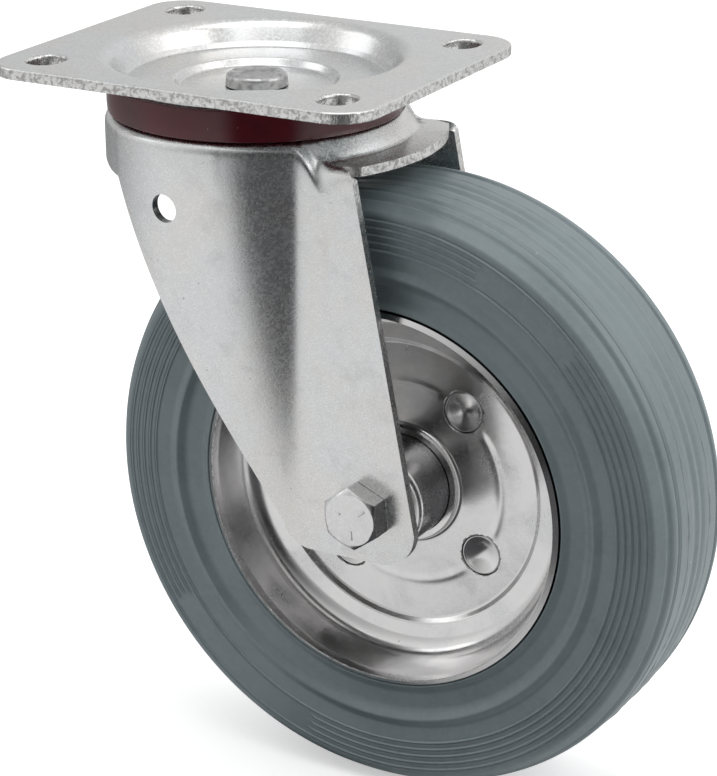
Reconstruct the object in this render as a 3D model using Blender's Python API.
"""Swivel castor with a rubber-tyred wheel, as fitted under a sliding or swinging gate.

Frame: +Z up, origin on the swivel axis at the top face of the mounting plate.
The wheel trails towards +X and its axle lies along Y.
"""

import math

import bmesh
import bpy
from mathutils import Matrix, Vector

MM = 0.001

# Overall sizes
TYRE_TOP_DROP = 33.5 * MM  # plate top down to the top of the tyre
WHEEL_DIAMETER = 200 * MM
TYRE_WIDTH = 50 * MM
AXLE_OFFSET = 56.5 * MM
GAP = 0.3 * MM  # between faces that touch
RUNNING_GAP = 0.6 * MM  # between parts that move past each other

# Mounting plate
PLATE_LENGTH = 135 * MM
PLATE_WIDTH = 110 * MM
PLATE_THICKNESS = 3.6 * MM
PLATE_CORNER_RADIUS = 13 * MM
PLATE_EDGE_BREAK = 0.5 * MM
HOLE_SPACING_X = 105 * MM
HOLE_SPACING_Y = 80 * MM
SLOT_WIDTH = 11 * MM
SLOT_LENGTH = 13.5 * MM
DISH_LIP_RADIUS = 49.5 * MM
DISH_LIP_INSET = 1.5 * MM  # the rounded lip starts this far outside the wall's line
DISH_FOOT_RADIUS = 41.5 * MM
DISH_CENTRE_RADIUS = 26.4 * MM
DISH_DEPTH = 8.2 * MM
DISH_CENTRE_STEP = 2.4 * MM
DISH_WALL = 2.6 * MM  # the drawn wall is thinner than the plate
DISH_LIP_ROUND = 5 * MM
DISH_FOOT_ROUND = 1.5 * MM
DISH_UNDER_ROUND = 2.5 * MM
DISH_BORDER_START = 3 * MM  # flat border begins this far outside the lip
CENTRE_STEP_SLOPE = 1.6 * MM  # run of the step in the dish's middle
CENTRE_STEP_ROUND = 1 * MM
CENTRE_EDGE_ROUND = 0.8 * MM

# King pin and swivel bearing
PIN_RADIUS = 8 * MM
PIN_HEAD_RADIUS = 10 * MM
PIN_HEAD_HEIGHT = 4.3 * MM
PIN_FOOT_RADIUS = 12 * MM
PIN_FOOT_HEIGHT = 4.5 * MM
PIN_HEAD_ROUND = 1.6 * MM
PIN_RECESS_DEPTH = 0.6 * MM
PIN_RECESS_FLOOR = 5 * MM
PIN_RECESS_RIM = 5.8 * MM
PIN_FOOT_EDGE = 1.2 * MM
PIN_FOOT_ROUND = 2 * MM
PIN_FOOT_FACE = 3 * MM
PIN_FOOT_TAPER = 0.75  # foot's lower corner, as a share of its radius
UPPER_BALL = 8 * MM
UPPER_BALL_CIRCLE = 35 * MM
LOWER_BALL = 6 * MM
LOWER_BALL_CIRCLE = 31 * MM
BALL_COUNT = 10
CAGE_THICKNESS = 2.4 * MM
CAGE_BORDER = 1.6 * MM
RACE_THICKNESS = 2.8 * MM
RACE_LIP = 3.2 * MM
RACE_HAT_RADIUS = 20.5 * MM
RACE_HAT_SLOPE = 1 * MM
RACE_HAT_ROUND = 3.2 * MM
RACE_FOOT_ROUND = 2 * MM
RACE_MARGIN = 1 * MM  # brim beyond the balls
CROWN_HOLE_RADIUS = 24.5 * MM

# Fork
SHEET = 3 * MM
CROWN_RADIUS = 48.5 * MM
CROWN_RING_RISE = 3.1 * MM
CROWN_REAR_RADIUS = 61 * MM
TRACK_EDGE_RADIUS = 39.7 * MM  # where the ball track starts to rise to the ring
RING_TOP_RADIUS = 41.8 * MM
RING_SHOULDER_RADIUS = 46.6 * MM
RING_SHOULDER_ROUND = 2.5 * MM
RING_FOOT_RADIUS = 51.2 * MM
RING_FOOT_ROUND = 1.5 * MM
LEG_BEND = 4 * MM
LEG_CLEARANCE = 6.5 * MM  # tyre side to inner face of a leg
LEG_REAR_TOP = 53.5 * MM
LEG_REAR_MARGIN = 17.9 * MM  # rear edge behind the axle
LEG_BELOW_AXLE = 16.5 * MM
LEG_REAR_CORNER = 12 * MM
LEG_FRONT_CORNER = 10 * MM
LEG_FRONT_FOOT = 6.5 * MM  # the front edge's long stretch ends this far above the foot
LEG_FRONT_MARGIN = 27 * MM  # front edge ahead of the axle, at the foot
LEG_FRONT_BOW = 2.4 * MM
NECK_ANGLE = math.radians(123)  # where a leg's front edge meets the crown
NECK_DROP = 6.6 * MM  # crown lip below the bend, at the legs
FRONT_LIP_DROP = 2.3 * MM  # and at the front
BULGE_BLEND = 3 * MM
REAR_ANGLE = math.radians(30)
LEG_HOLE_RADIUS = 4.6 * MM
LEG_HOLE_X = -5.4 * MM
LEG_HOLE_DROP = 16.5 * MM  # below the crown's shelf

# Dust seal
SEAL_RADIUS = 47.7 * MM
SEAL_WALL = 2.2 * MM
SEAL_TOP = 6.8 * MM
SEAL_FOOT_ROUND = 0.9 * MM
SEAL_DISH_GAP = 1.3 * RUNNING_GAP

# Axle
BOLT_RADIUS = 5.9 * MM
BOLT_HOLE_RADIUS = 6.3 * MM
HEX_ACROSS_FLATS = 18 * MM
HEX_ANGLE = math.radians(24)
BOLT_HEAD_HEIGHT = 7.5 * MM
NUT_HEIGHT = 9.4 * MM
NUT_COLLAR_HEIGHT = 2.8 * MM
NUT_COLLAR_RADIUS = 8.2 * MM
INSERT_RADIUS = 7.4 * MM
INSERT_DEPTH = 2.6 * MM
BOLT_TAIL = 3 * MM
BOLT_POINT_LENGTH = 1.2 * MM
BOLT_POINT_INSET = 1 * MM
HEX_CHAMFER_DROP = 1.7 * MM
HEX_CHAMFER_INSET = 0.6 * MM
INSERT_RECESS = 0.4 * MM
SLEEVE_RADIUS = 8.5 * MM

# Wheel
RIM_SHEET = 1.8 * MM
RIM_COLLAR = 2.4 * MM
RIM_LIP_RADIUS = 63 * MM
RIM_LIP_INSET = 0.4 * MM  # rim lip inboard of the tyre side
RIM_DISC_FACE = 5.2 * MM  # from the wheel's middle plane
RIM_STEP_RADIUS = 48.3 * MM
RIM_STEP_RISE = 1.6 * MM
RIM_STEP_ROUND = 1.2 * MM
RIM_STEP_RUN = 0.4 * MM
RIM_COLLAR_ROUND = 1 * MM
RIM_BOWL_FOOT = 3.2 * MM  # inside the lip
RIM_BOWL_RISE = 3.6 * MM  # above the disc
RIM_BOWL_ROUND = 5 * MM
RIM_LIP_DROP = 3 * MM
RIM_LIP_LEAN = 0.6 * MM
HUB_RADIUS = 17 * MM
HUB_END_GAP = 2.5 * MM
HUB_CHAMFER = 0.8 * MM
CAP_RADIUS = 15.2 * MM
CAP_THICKNESS = 1.5 * MM
CAP_SPIGOT = 2.6 * MM
CAP_BORE_GAP = 0.5 * MM
CAP_CHAMFER = 0.5 * MM
RIVET_RADIUS = 6.7 * MM
RIVET_CIRCLE = 34 * MM
RIVET_COUNT = 4
RIVET_ANGLE = math.radians(53)
RIVET_DISH = 1.1 * MM
RIVET_SINK = 0.5 * MM  # rivet face below the disc
RIVET_CHAMFER = 0.5 * MM
RIVET_RIM = 0.88  # where the dish ends, as a share of the radius
RIVET_MIDDLE = 0.5
RIVET_MIDDLE_DEPTH = 0.7  # dish depth there, as a share
TYRE_BASE_RADIUS = 51 * MM
TYRE_SHOULDER = 5.6 * MM  # side face ends this far inside the tread's radius
TYRE_SHOULDER_ROUND = 4 * MM
TYRE_TREAD_DROP = 1.6 * MM  # tread's edge below its middle
TYRE_TREAD_MARGIN = 5.5 * MM  # tread's edge inboard of the tyre's side
TYRE_LIP_STEP = 2 * MM
TYRE_LIP_SHELF = 3 * MM  # flat ring just outside the rim lip
TYRE_LIP_SLOPE = 2.2 * MM
TYRE_LIP_ROUND = 1 * MM

# Wheel bearing
ROLLER_DIAMETER = 4.2 * MM
ROLLER_COUNT = 10
ROLLER_LENGTH = 42 * MM
ROLLER_CAGE_WALL = 2 * MM
ROLLER_CAGE_END = 3 * MM

# Cutters reach this far past what they cut, and welded shapes this far into each other
OVERRUN = 1 * MM
OVERLAP = 2 * MM

# Facet counts
SHARP_EDGE = math.radians(35)
PLATE_ARC_STEPS = 4
PLATE_LONG_STEPS = 7
PLATE_SHORT_STEPS = 6
PROFILE_STEPS = 2
SLOT_STEPS = 6
BALL_SEGMENTS = 8
BALL_RINGS = 6
TINY_ROUND = 10
RIVET_ROUND = 12
HOLE_ROUND = 14
MEDIUM_ROUND = 24
ROUND = 28
WHEEL_ROUND = 40
SMALL_ROUND = 16
ARC_STEPS = 1
RING_STEPS = 6
BEND_STEPS = 3
LEG_COLUMNS = 12
LEG_ROWS = 7
CORNER_ROWS = 3
FRONT_COLUMNS = 4
REAR_COLUMNS = 3

# Levels and places that follow from the sizes above
TRACK_UNDER = -(DISH_DEPTH + PLATE_THICKNESS)
CENTRE_TOP = -(DISH_DEPTH + DISH_CENTRE_STEP)
CENTRE_UNDER = CENTRE_TOP - PLATE_THICKNESS
CROWN_TRACK = TRACK_UNDER - UPPER_BALL - 2 * GAP
CROWN_UNDER = CROWN_TRACK - SHEET
CROWN_RING_TOP = CROWN_TRACK + CROWN_RING_RISE
SHELF = CROWN_UNDER
RACE_TRACK = CROWN_UNDER - LOWER_BALL - 2 * GAP
AXLE_Z = -(TYRE_TOP_DROP + WHEEL_DIAMETER / 2)
LEG_INNER = TYRE_WIDTH / 2 + LEG_CLEARANCE
LEG_OUTER = LEG_INNER + SHEET
LEG_BOTTOM = AXLE_Z - LEG_BELOW_AXLE
HUB_HALF = LEG_INNER - HUB_END_GAP
ROLLER_CIRCLE = SLEEVE_RADIUS + GAP + ROLLER_DIAMETER / 2
HUB_BORE = ROLLER_CIRCLE + ROLLER_DIAMETER / 2 + GAP


# Geometry helpers

def polar(radius, angle):
    return radius * math.cos(angle), radius * math.sin(angle)


def rounded(corners, steps=ARC_STEPS):
    """A path through (a, b, radius) corners, with each corner of non-zero radius as an arc."""
    path = []
    for i, (a, b, radius) in enumerate(corners):
        point = Vector((a, b))
        if radius == 0 or i in (0, len(corners) - 1):
            path.append(point)
            continue
        back = (Vector(corners[i - 1][:2]) - point).normalized()
        ahead = (Vector(corners[i + 1][:2]) - point).normalized()
        half = back.angle(ahead) / 2
        centre = point + (back + ahead).normalized() * (radius / math.sin(half))
        start = point + back * (radius / math.tan(half)) - centre
        end = point + ahead * (radius / math.tan(half)) - centre
        turn = start.angle_signed(end)
        for k in range(steps + 1):
            path.append(centre + Matrix.Rotation(-turn * k / steps, 2) @ start)
    return path


def offset_path(path, distance):
    """The same path moved sideways, to the left of its direction."""
    moved = []
    for i, point in enumerate(path):
        before = path[max(i - 1, 0)]
        after = path[min(i + 1, len(path) - 1)]
        into = (point - before if i else after - point).normalized()
        out = (after - point if i < len(path) - 1 else into).normalized()
        normal = Vector((-into.y - out.y, into.x + out.x)).normalized()
        stretch = 1 / max(normal.dot(Vector((-into.y, into.x))), 0.5)
        moved.append(point + normal * (distance * stretch))
    return moved


def cut_at(path, limit):
    """The start of a path whose first coordinate grows, up to where it reaches limit."""
    kept = [point for point in path if point.x < limit]
    after = path[len(kept)]
    before = kept[-1]
    kept.append(before.lerp(after, (limit - before.x) / (after.x - before.x)))
    return kept


def spread(path, count):
    """A number of points at equal distances along a path."""
    lengths = [0.0]
    for before, after in zip(path, path[1:]):
        lengths.append(lengths[-1] + (after - before).length)
    points = []
    for k in range(count):
        target = lengths[-1] * k / (count - 1)
        i = 0
        while i < len(path) - 2 and lengths[i + 1] < target:
            i += 1
        share = (target - lengths[i]) / (lengths[i + 1] - lengths[i])
        points.append(path[i].lerp(path[i + 1], share))
    return points


def new_object(name, mesh, finish, parent=None):
    obj = bpy.data.objects.new(name, mesh)
    bpy.context.scene.collection.objects.link(obj)
    mesh.materials.append(finish)
    mesh.shade_smooth()
    mesh.set_sharp_from_angle(angle=SHARP_EDGE)
    obj.parent = parent
    return obj


def mesh_of(name, points, faces):
    mesh = bpy.data.meshes.new(name)
    mesh.from_pydata([tuple(p) for p in points], [], faces)
    work = bmesh.new()
    work.from_mesh(mesh)
    bmesh.ops.recalc_face_normals(work, faces=work.faces)
    work.to_mesh(mesh)
    work.free()
    return mesh


def turned_ring(name, section, segments):
    """A ring turned about Z from a closed section of (radius, height) points."""
    count = len(section)
    points = []
    for k in range(segments):
        angle = 2 * math.pi * k / segments
        points += [(*polar(p[0], angle), p[1]) for p in section]
    faces = []
    for k in range(segments):
        a = k * count
        b = (k + 1) % segments * count
        for i in range(count):
            j = (i + 1) % count
            faces.append((a + i, a + j, b + j, b + i))
    return mesh_of(name, points, faces)


def turned_solid(name, profile, segments):
    """A solid turned about Z from a profile that starts and ends on the axis."""
    inner = profile[1:-1]
    count = len(inner)
    points = [(0, 0, profile[0][1]), (0, 0, profile[-1][1])]
    for k in range(segments):
        angle = 2 * math.pi * k / segments
        points += [(*polar(p[0], angle), p[1]) for p in inner]
    faces = []
    for k in range(segments):
        a = 2 + k * count
        b = 2 + (k + 1) % segments * count
        faces.append((0, a, b))
        faces.append((1, b + count - 1, a + count - 1))
        faces += [(a + i, a + i + 1, b + i + 1, b + i) for i in range(count - 1)]
    return mesh_of(name, points, faces)


def hexagon_points(radius, angle, height):
    return [(*polar(radius, angle + math.pi / 3 * k), height) for k in range(6)]


def hex_prism(name, bottom, top):
    """A hexagonal prism along Z, of the bolt's size across flats and at its angle."""
    radius = HEX_ACROSS_FLATS / math.sqrt(3)
    points = hexagon_points(radius, HEX_ANGLE, bottom) + hexagon_points(radius, HEX_ANGLE, top)
    faces = [tuple(range(6)), tuple(range(6, 12))]
    faces += [(k, (k + 1) % 6, (k + 1) % 6 + 6, k + 6) for k in range(6)]
    return mesh_of(name, points, faces)


def boolean(obj, other, operation, name):
    modifier = obj.modifiers.new(name, "BOOLEAN")
    modifier.operation = operation
    modifier.solver = "EXACT"
    modifier.object = other


def cutter(name, mesh, parent=None):
    obj = bpy.data.objects.new(name, mesh)
    bpy.context.scene.collection.objects.link(obj)
    obj.parent = parent
    obj.hide_render = True
    obj.display_type = "WIRE"
    return obj


def rod(name, radius, bottom, top, segments):
    return turned_solid(name, [(0, bottom), (radius, bottom), (radius, top), (0, top)], segments)


def material(name, colour, roughness, metallic):
    mat = bpy.data.materials.new(name)
    mat.use_nodes = True
    shader = mat.node_tree.nodes["Principled BSDF"]
    shader.inputs["Base Color"].default_value = (*colour, 1)
    shader.inputs["Roughness"].default_value = roughness
    shader.inputs["Metallic"].default_value = metallic
    return mat


# Mounting plate

def plate_outline():
    """Corner arcs and straight sides of the plate's edge, anticlockwise."""
    outline = []
    for quarter in range(4):
        sign_x = 1 if quarter in (0, 3) else -1
        sign_y = 1 if quarter in (0, 1) else -1
        centre_x = sign_x * (PLATE_LENGTH / 2 - PLATE_CORNER_RADIUS)
        centre_y = sign_y * (PLATE_WIDTH / 2 - PLATE_CORNER_RADIUS)
        for k in range(PLATE_ARC_STEPS + 1):
            dx, dy = polar(PLATE_CORNER_RADIUS, math.pi / 2 * (quarter + k / PLATE_ARC_STEPS))
            outline.append(Vector((centre_x + dx, centre_y + dy)))
        side_steps = PLATE_LONG_STEPS if quarter in (0, 2) else PLATE_SHORT_STEPS
        next_x = -centre_x if quarter in (0, 2) else centre_x
        next_y = centre_y if quarter in (0, 2) else -centre_y
        side_dx, side_dy = polar(PLATE_CORNER_RADIUS, math.pi / 2 * (quarter + 1))
        for k in range(1, side_steps):
            share = k / side_steps
            x = centre_x + (next_x - centre_x) * share + side_dx
            y = centre_y + (next_y - centre_y) * share + side_dy
            outline.append(Vector((x, y)))
    return outline


def dish_under_radius(z):
    """Outside radius of the dish's sloping wall at height z."""
    run = DISH_LIP_RADIUS - DISH_LIP_INSET - DISH_FOOT_RADIUS
    wall_across = DISH_WALL * math.hypot(run, DISH_DEPTH) / DISH_DEPTH
    return DISH_FOOT_RADIUS + (z + DISH_DEPTH) * run / DISH_DEPTH + wall_across


def make_plate(steel, swivel):
    """Pressed plate: a flat border, and a dish that holds the upper ball track."""
    top = rounded([
        (PIN_RADIUS + GAP, CENTRE_TOP, 0),
        (DISH_CENTRE_RADIUS - CENTRE_STEP_SLOPE, CENTRE_TOP, CENTRE_STEP_ROUND),
        (DISH_CENTRE_RADIUS, -DISH_DEPTH, CENTRE_EDGE_ROUND),
        (DISH_FOOT_RADIUS, -DISH_DEPTH, DISH_FOOT_ROUND),
        (DISH_LIP_RADIUS - DISH_LIP_INSET, 0, DISH_LIP_ROUND),
        (DISH_LIP_RADIUS + DISH_BORDER_START, 0, 0),
    ], PROFILE_STEPS)
    under = rounded([
        (DISH_LIP_RADIUS + DISH_BORDER_START, -PLATE_THICKNESS, 0),
        (dish_under_radius(-PLATE_THICKNESS), -PLATE_THICKNESS, CENTRE_STEP_ROUND),
        (dish_under_radius(TRACK_UNDER), TRACK_UNDER, DISH_UNDER_ROUND),
        (DISH_CENTRE_RADIUS + CENTRE_STEP_SLOPE, TRACK_UNDER, CENTRE_STEP_ROUND),
        (DISH_CENTRE_RADIUS, CENTRE_UNDER, CENTRE_STEP_ROUND),
        (PIN_RADIUS + GAP, CENTRE_UNDER, 0),
    ])
    outline = plate_outline()
    points = []
    for edge in outline:
        along = edge.normalized()
        reach = edge.length
        points += [(*(along * p.x), p.y) for p in top]
        points += [
            (*(along * (reach - PLATE_EDGE_BREAK)), 0),
            (*edge, -PLATE_EDGE_BREAK),
            (*edge, PLATE_EDGE_BREAK - PLATE_THICKNESS),
            (*(along * (reach - PLATE_EDGE_BREAK)), -PLATE_THICKNESS),
        ]
        points += [(*(along * p.x), p.y) for p in under]
    count = len(top) + 4 + len(under)
    faces = []
    for k in range(len(outline)):
        a = k * count
        b = (k + 1) % len(outline) * count
        for i in range(count):
            j = (i + 1) % count
            faces.append((a + i, a + j, b + j, b + i))
    plate = new_object("top_plate", mesh_of("top_plate", points, faces), steel, swivel)
    for k, (sign_x, sign_y) in enumerate(((1, 1), (-1, 1), (-1, -1), (1, -1))):
        slot = slot_cutter(f"slot_cutter_{k + 1}")
        slot.location = (sign_x * HOLE_SPACING_X / 2, sign_y * HOLE_SPACING_Y / 2, 0)
        boolean(plate, slot, "DIFFERENCE", f"slot_{k + 1}")
    return plate


def slot_cutter(name):
    half = (SLOT_LENGTH - SLOT_WIDTH) / 2
    rim = []
    for end in (1, -1):
        for k in range(SLOT_STEPS + 1):
            dx, dy = polar(SLOT_WIDTH / 2, math.pi * k / SLOT_STEPS)
            rim.append((end * dx, end * (dy + half)))
    top = PLATE_THICKNESS
    bottom = -2 * PLATE_THICKNESS
    points = [(x, y, bottom) for x, y in rim] + [(x, y, top) for x, y in rim]
    count = len(rim)
    faces = [tuple(range(count)), tuple(range(count, 2 * count))]
    faces += [(k, (k + 1) % count, (k + 1) % count + count, k + count) for k in range(count)]
    return cutter(name, mesh_of(name, points, faces))


def make_king_pin(steel, swivel):
    """Riveted pin: its two heads clamp the plate and the lower race together."""
    hat_top = CENTRE_UNDER - GAP
    foot_top = hat_top - RACE_THICKNESS - GAP
    head_top = CENTRE_TOP + PIN_HEAD_HEIGHT
    profile = [(0, head_top - PIN_RECESS_DEPTH)]
    profile += rounded([
        (PIN_RECESS_FLOOR, head_top - PIN_RECESS_DEPTH, 0),
        (PIN_RECESS_RIM, head_top, 0),
        (PIN_HEAD_RADIUS, head_top, PIN_HEAD_ROUND),
        (PIN_HEAD_RADIUS, CENTRE_TOP + GAP, 0),
    ])
    profile += [
        (PIN_RADIUS, CENTRE_TOP + GAP),
        (PIN_RADIUS, foot_top),
        (PIN_FOOT_RADIUS, foot_top),
    ]
    profile += rounded([
        (PIN_FOOT_RADIUS, foot_top - PIN_FOOT_EDGE, 0),
        (PIN_FOOT_RADIUS * PIN_FOOT_TAPER, foot_top - PIN_FOOT_HEIGHT, PIN_FOOT_ROUND),
        (PIN_FOOT_FACE, foot_top - PIN_FOOT_HEIGHT, 0),
    ])
    profile.append((0, foot_top - PIN_FOOT_HEIGHT))
    return new_object("king_pin", turned_solid("king_pin", profile, MEDIUM_ROUND), steel, swivel)


def make_lower_race(steel, swivel):
    """Hat-shaped race: its crown bears on the plate and its brim carries the lower balls."""
    hat_top = CENTRE_UNDER - GAP
    brim = LOWER_BALL_CIRCLE + LOWER_BALL / 2 + RACE_THICKNESS + RACE_MARGIN
    top = rounded([
        (PIN_RADIUS + GAP, hat_top, 0),
        (RACE_HAT_RADIUS - RACE_HAT_SLOPE, hat_top, RACE_HAT_ROUND),
        (RACE_HAT_RADIUS + RACE_HAT_SLOPE, RACE_TRACK, RACE_FOOT_ROUND),
        (brim, RACE_TRACK, RACE_HAT_SLOPE),
        (brim, RACE_TRACK + RACE_LIP, 0),
    ])
    section = top + offset_path(top, -RACE_THICKNESS)[::-1]
    return new_object("lower_race", turned_ring("lower_race", section, ROUND), steel, swivel)


# Swivel bearing

def make_ball_ring(prefix, diameter, circle, level, steel, plastic, axis):
    """A plastic cage with one ball in each of its holes."""
    inner = circle - diameter / 2 - CAGE_BORDER
    outer = circle + diameter / 2 + CAGE_BORDER
    bottom = level - CAGE_THICKNESS / 2
    top = level + CAGE_THICKNESS / 2
    section = [(inner, bottom), (outer, bottom), (outer, top), (inner, top)]
    cage_mesh = turned_ring(f"{prefix}_cage", section, ROUND)
    cage = new_object(f"{prefix}_cage", cage_mesh, plastic, axis)
    hole = diameter / 2 + GAP
    pocket_mesh = rod(f"{prefix}_pocket", hole, bottom - OVERRUN, top + OVERRUN, TINY_ROUND)
    ball_mesh = bpy.data.meshes.new(f"{prefix}_ball")
    work = bmesh.new()
    radius = diameter / 2
    bmesh.ops.create_uvsphere(work, u_segments=BALL_SEGMENTS, v_segments=BALL_RINGS, radius=radius)
    work.to_mesh(ball_mesh)
    work.free()
    for k in range(BALL_COUNT):
        angle = 2 * math.pi * (k + 0.5) / BALL_COUNT
        pocket = cutter(f"{prefix}_pocket_{k + 1:02d}", pocket_mesh, axis)
        pocket.location = (*polar(circle, angle), 0)
        boolean(cage, pocket, "DIFFERENCE", f"pocket_{k + 1:02d}")
        ball = new_object(f"{prefix}_ball_{k + 1:02d}", ball_mesh.copy(), steel, axis)
        ball.location = (*polar(circle, angle), level)


# Fork

def front_edge_x(z, neck):
    """Front edge of a leg at height z, with its rounded foot corner."""
    foot_x = AXLE_OFFSET - LEG_FRONT_MARGIN
    foot_z = LEG_BOTTOM + LEG_FRONT_FOOT
    share = (neck.z - z) / (neck.z - foot_z)
    slope = (foot_x - neck.x + 4 * LEG_FRONT_BOW) / (neck.z - foot_z)
    lean = math.atan(slope)
    centre_x = foot_x + LEG_FRONT_CORNER * math.cos(lean)
    centre_z = foot_z + LEG_FRONT_CORNER * math.sin(lean)
    centre_z = min(centre_z, LEG_BOTTOM + LEG_FRONT_CORNER)
    if z < foot_z:
        rise = min(centre_z - z, LEG_FRONT_CORNER)
        return centre_x - math.sqrt(LEG_FRONT_CORNER ** 2 - rise ** 2)
    return neck.x + share * (foot_x - neck.x) - 4 * LEG_FRONT_BOW * share * (1 - share)


def rear_edge_x(z):
    """Rear edge of a leg at height z, with its rounded foot corner."""
    slope = (AXLE_OFFSET + LEG_REAR_MARGIN - LEG_REAR_TOP) / (SHELF - AXLE_Z)
    corner_z = LEG_BOTTOM + LEG_REAR_CORNER
    line_x = LEG_REAR_TOP + slope * (SHELF - max(z, corner_z))
    if z >= corner_z:
        return line_x
    drop = min(corner_z - z, LEG_REAR_CORNER)
    return line_x - LEG_REAR_CORNER + math.sqrt(LEG_REAR_CORNER ** 2 - drop ** 2)


def leg_face_y(x, z):
    """Distance of a leg's outer face from the middle plane: flat at the rear, bulged in front."""
    top = SHELF - LEG_BEND
    strength = min(1, max(0, (z - LEG_BOTTOM) / (top - LEG_BOTTOM)))
    reach = math.sqrt(max(CROWN_RADIUS ** 2 - x * x, 0)) - LEG_OUTER
    return LEG_OUTER + strength * (reach + math.hypot(reach, BULGE_BLEND)) / 2


def leg_normal(x):
    """Plan direction that a leg's outer face points in at its top, on the -Y side."""
    step = 0.1 * MM
    top = SHELF - LEG_BEND
    slope = (leg_face_y(x + step, top) - leg_face_y(x - step, top)) / (2 * step)
    return Vector((-slope, -1)).normalized()


def crown_path(edge, outward):
    """Upper surface of the crown, from its centre hole to the top of the bend or its rear edge."""
    along = edge.normalized()
    side = rounded([
        (RING_TOP_RADIUS, CROWN_RING_TOP, 0),
        (RING_SHOULDER_RADIUS, CROWN_RING_TOP, RING_SHOULDER_ROUND),
        (RING_FOOT_RADIUS, SHELF, RING_FOOT_ROUND),
        (2 * CROWN_REAR_RADIUS, SHELF, 0),
    ], RING_STEPS)
    inset = LEG_BEND / along.dot(outward) if outward else 0
    outer = spread(cut_at(side, edge.length - inset), RING_STEPS)
    path = [Vector((CROWN_HOLE_RADIUS, CROWN_TRACK)), Vector((TRACK_EDGE_RADIUS, CROWN_TRACK))]
    path += outer
    if outward:
        start = outer[-1]
        tangent = start - outer[-2]
        corner = Vector((edge.length, start.y + inset * tangent.y / tangent.x))
        end = corner - Vector((0, LEG_BEND))
        for k in range(1, BEND_STEPS + 1):
            share = k / BEND_STEPS
            path.append(start.lerp(corner, share).lerp(corner.lerp(end, share), share))
    return [(*(along * point.x), point.y) for point in path]


def smooth_step(value):
    value = min(1, max(0, value))
    return value * value * (3 - 2 * value)


def half_crown_edges():
    """Kind, plan point and outward direction of the crown's edge, from the rear to the front."""
    edges = []
    for k in range(REAR_COLUMNS):
        angle = -REAR_ANGLE * k / REAR_COLUMNS
        edges.append(("rear", Vector(polar(CROWN_REAR_RADIUS, angle)), None))
    neck_x = CROWN_RADIUS * math.cos(NECK_ANGLE)
    top_z = SHELF - LEG_BEND
    for k in range(LEG_COLUMNS + 1):
        share = 1 - k / LEG_COLUMNS
        x = neck_x + share * (rear_edge_x(top_z) - neck_x)
        edges.append(("leg", Vector((x, -leg_face_y(x, top_z))), leg_normal(x)))
    for k in range(1, FRONT_COLUMNS + 1):
        angle = -(NECK_ANGLE + (math.pi - NECK_ANGLE) * k / FRONT_COLUMNS)
        outward = Vector(polar(1, angle))
        edges.append(("front", outward * CROWN_RADIUS, outward))
    return edges


def leg_heights(neck_z):
    corner_z = LEG_BOTTOM + LEG_REAR_CORNER
    heights = [neck_z + (corner_z - neck_z) * k / LEG_ROWS for k in range(LEG_ROWS + 1)]
    for k in range(1, CORNER_ROWS + 1):
        turn = math.pi / 2 * k / CORNER_ROWS
        heights.append(corner_z - LEG_REAR_CORNER * math.sin(turn))
    return heights


def half_fork_columns():
    """Columns of surface points, each from the centre hole out over the crown and down."""
    top_z = SHELF - LEG_BEND
    neck = Vector((CROWN_RADIUS * math.cos(NECK_ANGLE), 0, top_z - NECK_DROP))
    columns = []
    leg_index = 0
    for kind, edge, outward in half_crown_edges():
        path = crown_path(edge, outward)
        if kind == "leg":
            share = 1 - leg_index / LEG_COLUMNS
            for z in leg_heights(neck.z):
                front = front_edge_x(z, neck)
                x = front + share * (rear_edge_x(z) - front)
                path.append((x, -leg_face_y(x, z), z))
            leg_index += 1
        if kind == "front":
            angle = math.atan2(-edge.y, edge.x)
            share = smooth_step((math.pi - angle) / (math.pi - NECK_ANGLE)) ** 2
            drop = FRONT_LIP_DROP + (NECK_DROP - FRONT_LIP_DROP) * share
            path.append((*edge, top_z - drop))
        columns.append(path)
    return columns


def fork_surface():
    """The fork's outer surface as one open sheet: both halves, sewn along the middle plane."""
    near = half_fork_columns()
    far = [[(x, -y, z) for x, y, z in path] for path in near[1:-1]]
    work = bmesh.new()
    rows = [[work.verts.new(point) for point in path] for path in near + far[::-1]]
    for k, left in enumerate(rows):
        right = rows[(k + 1) % len(rows)]
        for i in range(min(len(left), len(right)) - 1):
            work.faces.new((left[i], left[i + 1], right[i + 1], right[i]))
    bmesh.ops.recalc_face_normals(work, faces=work.faces)
    if work.faces[0].normal.z < 0:
        bmesh.ops.reverse_faces(work, faces=work.faces)
    mesh = bpy.data.meshes.new("fork")
    work.to_mesh(mesh)
    work.free()
    return mesh


def make_fork(steel, swivel, axle):
    """Pressed fork: crown and two legs from one sheet."""
    fork = new_object("fork", fork_surface(), steel, swivel)
    solidify = fork.modifiers.new("sheet", "SOLIDIFY")
    solidify.thickness = SHEET
    solidify.offset = -1
    solidify.use_even_offset = True
    solidify.use_quality_normals = True
    bolt_hole = rod("bolt_hole_cutter", BOLT_HOLE_RADIUS, -2 * LEG_OUTER, 2 * LEG_OUTER, MEDIUM_ROUND)
    boolean(fork, cutter("bolt_hole_cutter", bolt_hole, axle), "DIFFERENCE", "bolt_hole")
    hole_z = SHELF - LEG_HOLE_DROP
    hole = rod("leg_hole_cutter", LEG_HOLE_RADIUS, -2 * LEG_OUTER, 2 * LEG_OUTER, HOLE_ROUND)
    side = cutter("leg_hole_cutter", hole, swivel)
    side.rotation_euler = (math.radians(-90), 0, 0)
    side.location = (LEG_HOLE_X, 0, hole_z)
    boolean(fork, side, "DIFFERENCE", "leg_hole")
    return fork


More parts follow.
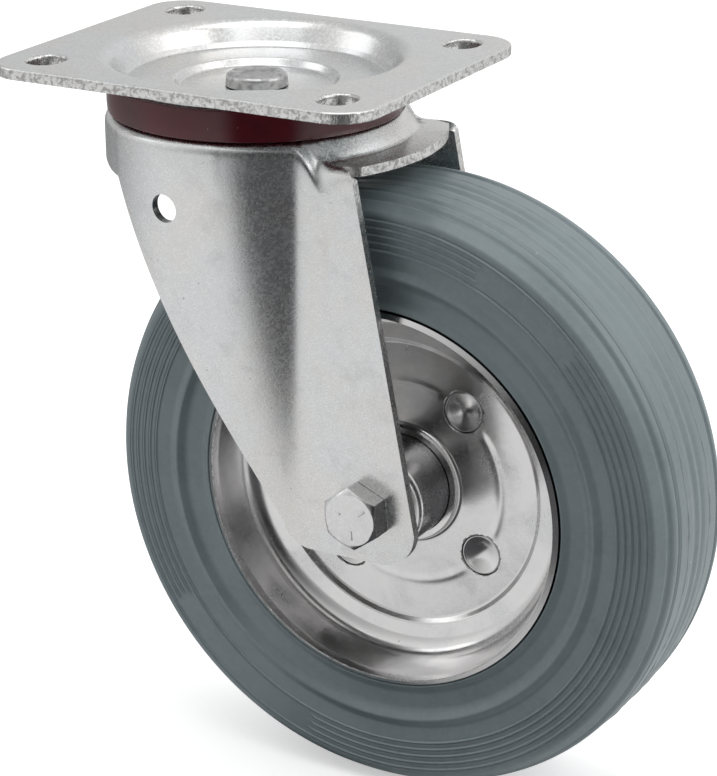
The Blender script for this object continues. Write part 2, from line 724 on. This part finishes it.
def make_seal(plastic, swivel):
    """Ring that closes the gap between plate and crown, seated on the crown's ring."""
    bottom = CROWN_RING_TOP + GAP
    section = rounded([
        (SEAL_RADIUS - SEAL_WALL, bottom, 0),
        (SEAL_RADIUS, bottom, SEAL_FOOT_ROUND),
        (SEAL_RADIUS, -SEAL_TOP, 0),
    ])
    slope = (DISH_LIP_RADIUS - DISH_LIP_INSET - DISH_FOOT_RADIUS) / DISH_DEPTH
    top_inside = dish_under_radius(-SEAL_TOP) + SEAL_DISH_GAP
    taper = (top_inside - SEAL_RADIUS + SEAL_WALL) / slope
    section += [
        Vector((top_inside, -SEAL_TOP)),
        Vector((SEAL_RADIUS - SEAL_WALL, -SEAL_TOP - taper)),
    ]
    return new_object("dust_seal", turned_ring("dust_seal", section, WHEEL_ROUND), plastic, swivel)


# Axle

def chamfered_hex(name, inner, outer, steel, axle):
    """A hexagon along Z with its outer corners turned off."""
    body = new_object(name, hex_prism(name, min(inner, outer), max(inner, outer)), steel, axle)
    corner = HEX_ACROSS_FLATS / math.sqrt(3)
    direction = 1 if outer > inner else -1
    profile = [
        (0, inner - direction * OVERRUN),
        (corner + OVERRUN, inner - direction * OVERRUN),
        (corner + OVERRUN, outer - direction * HEX_CHAMFER_DROP),
        (HEX_ACROSS_FLATS / 2 - HEX_CHAMFER_INSET, outer),
        (0, outer),
    ]
    turned = cutter(f"{name}_chamfer", turned_solid(f"{name}_chamfer", profile, MEDIUM_ROUND), axle)
    boolean(body, turned, "INTERSECT", "chamfer")
    return body


def make_axle_bolt(steel, axle):
    face = -(LEG_OUTER + GAP)
    head = chamfered_hex("axle_bolt", face, face - BOLT_HEAD_HEIGHT, steel, axle)
    end = LEG_OUTER + GAP + NUT_HEIGHT + NUT_COLLAR_HEIGHT + BOLT_TAIL
    profile = [
        (0, face - OVERLAP),
        (BOLT_RADIUS, face - OVERLAP),
        (BOLT_RADIUS, end - BOLT_POINT_LENGTH),
        (BOLT_RADIUS - BOLT_POINT_INSET, end),
        (0, end),
    ]
    shank = cutter("bolt_shank", turned_solid("bolt_shank", profile, SMALL_ROUND), axle)
    boolean(head, shank, "UNION", "shank")
    return head


def make_nut(steel, nylon, axle):
    """Lock nut with a nylon ring held in its collar."""
    inner = LEG_OUTER + GAP
    outer = inner + NUT_HEIGHT
    nut = chamfered_hex("axle_nut", inner, outer, steel, axle)
    top = outer + NUT_COLLAR_HEIGHT
    collar_mesh = rod("nut_collar", NUT_COLLAR_RADIUS, outer - OVERLAP, top, MEDIUM_ROUND)
    boolean(nut, cutter("nut_collar", collar_mesh, axle), "UNION", "collar")
    bore = rod("nut_bore", BOLT_RADIUS + GAP, inner - OVERRUN, top + OVERRUN, SMALL_ROUND)
    boolean(nut, cutter("nut_bore", bore, axle), "DIFFERENCE", "bore")
    floor = top - INSERT_DEPTH
    pocket = rod("nut_pocket", INSERT_RADIUS, floor, top + OVERRUN, SMALL_ROUND)
    boolean(nut, cutter("nut_pocket", pocket, axle), "DIFFERENCE", "pocket")
    ring = INSERT_RADIUS - GAP
    section = [
        (BOLT_RADIUS + GAP, floor + GAP),
        (ring, floor + GAP),
        (ring, top - INSERT_RECESS),
        (BOLT_RADIUS + GAP, top - INSERT_RECESS),
    ]
    new_object("nut_insert", turned_ring("nut_insert", section, SMALL_ROUND), nylon, axle)


def make_sleeve(steel, axle):
    """Tube clamped between the legs, on which the rollers run."""
    half = LEG_INNER - GAP
    bore = BOLT_RADIUS + GAP
    section = [(bore, -half), (SLEEVE_RADIUS, -half), (SLEEVE_RADIUS, half), (bore, half)]
    new_object("axle_sleeve", turned_ring("axle_sleeve", section, ROUND), steel, axle)


# Wheel

def rim_path():
    """Visible face of one rim half, from its hub collar out to its lip, as (radius, height)."""
    lip = TYRE_WIDTH / 2 - RIM_LIP_INSET
    lip_inside = RIM_LIP_RADIUS - RIM_SHEET
    collar = HUB_RADIUS + GAP + RIM_SHEET
    return rounded([
        (collar, RIM_DISC_FACE + RIM_COLLAR, 0),
        (collar, RIM_DISC_FACE, RIM_COLLAR_ROUND),
        (RIM_STEP_RADIUS - RIM_STEP_ROUND, RIM_DISC_FACE, RIM_STEP_ROUND),
        (RIM_STEP_RADIUS + RIM_STEP_RUN, RIM_DISC_FACE + RIM_STEP_RISE, RIM_STEP_ROUND),
        (lip_inside - RIM_BOWL_FOOT, RIM_DISC_FACE + RIM_BOWL_RISE, RIM_BOWL_ROUND),
        (lip_inside - RIM_LIP_LEAN, lip - RIM_LIP_DROP, 0),
        (lip_inside, lip, 0),
    ])


def make_rim_half(name, side, steel, wheel):
    """Pressed half: disc, step, bowl and lip. Side is the sign of its place along Y."""
    face = rim_path()
    back = offset_path(face, -RIM_SHEET)
    section = [(p.x, side * p.y) for p in face + back[::-1]]
    half = new_object(name, turned_ring(name, section, WHEEL_ROUND), steel, wheel)
    reach = RIM_DISC_FACE * 2
    hole = rod(f"{name}_hole", RIVET_RADIUS + GAP, -reach, reach, HOLE_ROUND)
    for k in range(RIVET_COUNT):
        place = cutter(f"{name}_hole_{k + 1}", hole, wheel)
        place.location = (*polar(RIVET_CIRCLE, rivet_angle(k)), 0)
        boolean(half, place, "DIFFERENCE", f"hole_{k + 1}")
    return half


def rivet_angle(k):
    """Angle in the wheel's own frame, whose Y axis points down."""
    return -(RIVET_ANGLE + 2 * math.pi * k / RIVET_COUNT)


def make_rivets(steel, wheel):
    """Dished rivets that hold the two rim halves together."""
    face = RIM_DISC_FACE - RIVET_SINK
    profile = [
        (0, -face + RIVET_DISH),
        (RIVET_RADIUS * RIVET_MIDDLE, -face + RIVET_DISH * RIVET_MIDDLE_DEPTH),
        (RIVET_RADIUS * RIVET_RIM, -face),
        (RIVET_RADIUS, -face + RIVET_CHAMFER),
        (RIVET_RADIUS, face - RIVET_CHAMFER),
        (RIVET_RADIUS * RIVET_RIM, face),
        (RIVET_RADIUS * RIVET_MIDDLE, face - RIVET_DISH * RIVET_MIDDLE_DEPTH),
        (0, face - RIVET_DISH),
    ]
    for k in range(RIVET_COUNT):
        name = f"rim_rivet_{k + 1}"
        rivet = new_object(name, turned_solid(name, profile, RIVET_ROUND), steel, wheel)
        rivet.location = (*polar(RIVET_CIRCLE, rivet_angle(k)), 0)


def make_hub(steel, wheel):
    """Tube that both rim halves are pressed onto."""
    section = [
        (HUB_BORE, -HUB_HALF),
        (HUB_RADIUS - HUB_CHAMFER, -HUB_HALF),
        (HUB_RADIUS, -HUB_HALF + HUB_CHAMFER),
        (HUB_RADIUS, HUB_HALF - HUB_CHAMFER),
        (HUB_RADIUS - HUB_CHAMFER, HUB_HALF),
        (HUB_BORE, HUB_HALF),
    ]
    new_object("hub_tube", turned_ring("hub_tube", section, ROUND), steel, wheel)


def make_cap(name, side, steel, wheel):
    """Ring that closes one end of the hub over the roller cage."""
    inner = SLEEVE_RADIUS + CAP_BORE_GAP
    start = HUB_HALF + GAP
    end = start + CAP_THICKNESS
    spigot = HUB_BORE - GAP
    section = [
        (inner, side * end),
        (CAP_RADIUS - CAP_CHAMFER, side * end),
        (CAP_RADIUS, side * (end - CAP_CHAMFER)),
        (CAP_RADIUS, side * start),
        (spigot, side * start),
        (spigot, side * (HUB_HALF - CAP_SPIGOT)),
        (inner, side * (HUB_HALF - CAP_SPIGOT)),
    ]
    new_object(name, turned_ring(name, section, MEDIUM_ROUND), steel, wheel)


def make_tyre(rubber, wheel):
    """Solid rubber tyre with a tapered base held between the rim halves."""
    radius = WHEEL_DIAMETER / 2
    half = TYRE_WIDTH / 2
    outside = rounded([
        (RIM_LIP_RADIUS + 2 * GAP, half - TYRE_LIP_STEP, 0),
        (RIM_LIP_RADIUS + TYRE_LIP_SHELF, half - TYRE_LIP_STEP, 0),
        (RIM_LIP_RADIUS + TYRE_LIP_SHELF + TYRE_LIP_SLOPE, half, TYRE_LIP_ROUND),
        (radius - TYRE_SHOULDER, half, TYRE_SHOULDER_ROUND),
        (radius - TYRE_TREAD_DROP, half - TYRE_TREAD_MARGIN, TYRE_SHOULDER_ROUND),
        (radius, 0, 0),
    ], PROFILE_STEPS)
    seat = offset_path(rim_path(), -(RIM_SHEET + GAP))[:-1]
    first = next(i for i, p in enumerate(seat) if p.x > TYRE_BASE_RADIUS)
    share = (TYRE_BASE_RADIUS - seat[first - 1].x) / (seat[first].x - seat[first - 1].x)
    base_point = seat[first - 1].lerp(seat[first], share)
    half_section = [base_point] + seat[first:] + outside
    mirrored = [Vector((p.x, -p.y)) for p in half_section[-2::-1]]
    section = half_section + mirrored
    new_object("tyre", turned_ring("tyre", section, WHEEL_ROUND), rubber, wheel)


# Wheel bearing

def make_rollers(steel, plastic, ring):
    """Cage of long rollers between the sleeve and the hub."""
    cage_half = ROLLER_LENGTH / 2 + ROLLER_CAGE_END
    inner = ROLLER_CIRCLE - ROLLER_CAGE_WALL / 2
    outer = ROLLER_CIRCLE + ROLLER_CAGE_WALL / 2
    section = [(inner, -cage_half), (outer, -cage_half), (outer, cage_half), (inner, cage_half)]
    cage = new_object("roller_cage", turned_ring("roller_cage", section, ROUND), plastic, ring)
    half = ROLLER_LENGTH / 2
    window = rod("roller_window", ROLLER_DIAMETER / 2 + GAP, -half - GAP, half + GAP, TINY_ROUND)
    roller = rod("roller", ROLLER_DIAMETER / 2, -half, half, TINY_ROUND)
    for k in range(ROLLER_COUNT):
        centre = (*polar(ROLLER_CIRCLE, 2 * math.pi * (k + 0.5) / ROLLER_COUNT), 0)
        opening = cutter(f"roller_window_{k + 1:02d}", window, ring)
        opening.location = centre
        boolean(cage, opening, "DIFFERENCE", f"window_{k + 1:02d}")
        piece = new_object(f"roller_{k + 1:02d}", roller.copy(), steel, ring)
        piece.location = centre


def empty(name, location, turned_to_y=False):
    obj = bpy.data.objects.new(name, None)
    bpy.context.scene.collection.objects.link(obj)
    obj.location = location
    if turned_to_y:
        obj.rotation_euler = (math.radians(-90), 0, 0)
    return obj


def main():
    for obj in list(bpy.data.objects):
        bpy.data.objects.remove(obj, do_unlink=True)
    zinc = material("zinc_plated_steel", (0.62, 0.64, 0.66), 0.35, 1.0)
    pressed = material("pressed_rim_steel", (0.70, 0.70, 0.71), 0.25, 1.0)
    dark_steel = material("riveted_pin_steel", (0.32, 0.33, 0.33), 0.4, 1.0)
    bearing = material("bearing_steel", (0.55, 0.56, 0.58), 0.15, 1.0)
    rubber = material("grey_rubber", (0.17, 0.20, 0.21), 0.6, 0.0)
    red = material("red_seal_plastic", (0.13, 0.012, 0.018), 0.25, 0.0)
    nylon = material("white_nylon", (0.75, 0.75, 0.70), 0.5, 0.0)
    cage = material("cage_plastic", (0.05, 0.05, 0.055), 0.5, 0.0)

    plate_frame = empty("plate_frame", (0, 0, 0))
    swivel = empty("swivel_axis", (0, 0, 0))
    axle = empty("axle_axis", (AXLE_OFFSET, 0, AXLE_Z), True)
    wheel = empty("wheel_axis", (AXLE_OFFSET, 0, AXLE_Z), True)

    make_plate(zinc, plate_frame)
    make_king_pin(dark_steel, plate_frame)
    make_lower_race(zinc, plate_frame)
    upper_level = TRACK_UNDER - GAP - UPPER_BALL / 2
    lower_level = CROWN_UNDER - GAP - LOWER_BALL / 2
    make_ball_ring("upper", UPPER_BALL, UPPER_BALL_CIRCLE, upper_level, bearing, cage, swivel)
    make_ball_ring("lower", LOWER_BALL, LOWER_BALL_CIRCLE, lower_level, bearing, cage, swivel)
    make_fork(zinc, swivel, axle)
    make_seal(red, swivel)
    make_axle_bolt(zinc, axle)
    make_nut(zinc, nylon, axle)
    make_sleeve(bearing, axle)
    make_rollers(bearing, cage, wheel)
    make_tyre(rubber, wheel)
    make_rim_half("rim_near", -1, pressed, wheel)
    make_rim_half("rim_far", 1, pressed, wheel)
    make_rivets(pressed, wheel)
    make_hub(pressed, wheel)
    make_cap("hub_cap_near", -1, pressed, wheel)
    make_cap("hub_cap_far", 1, pressed, wheel)


main()
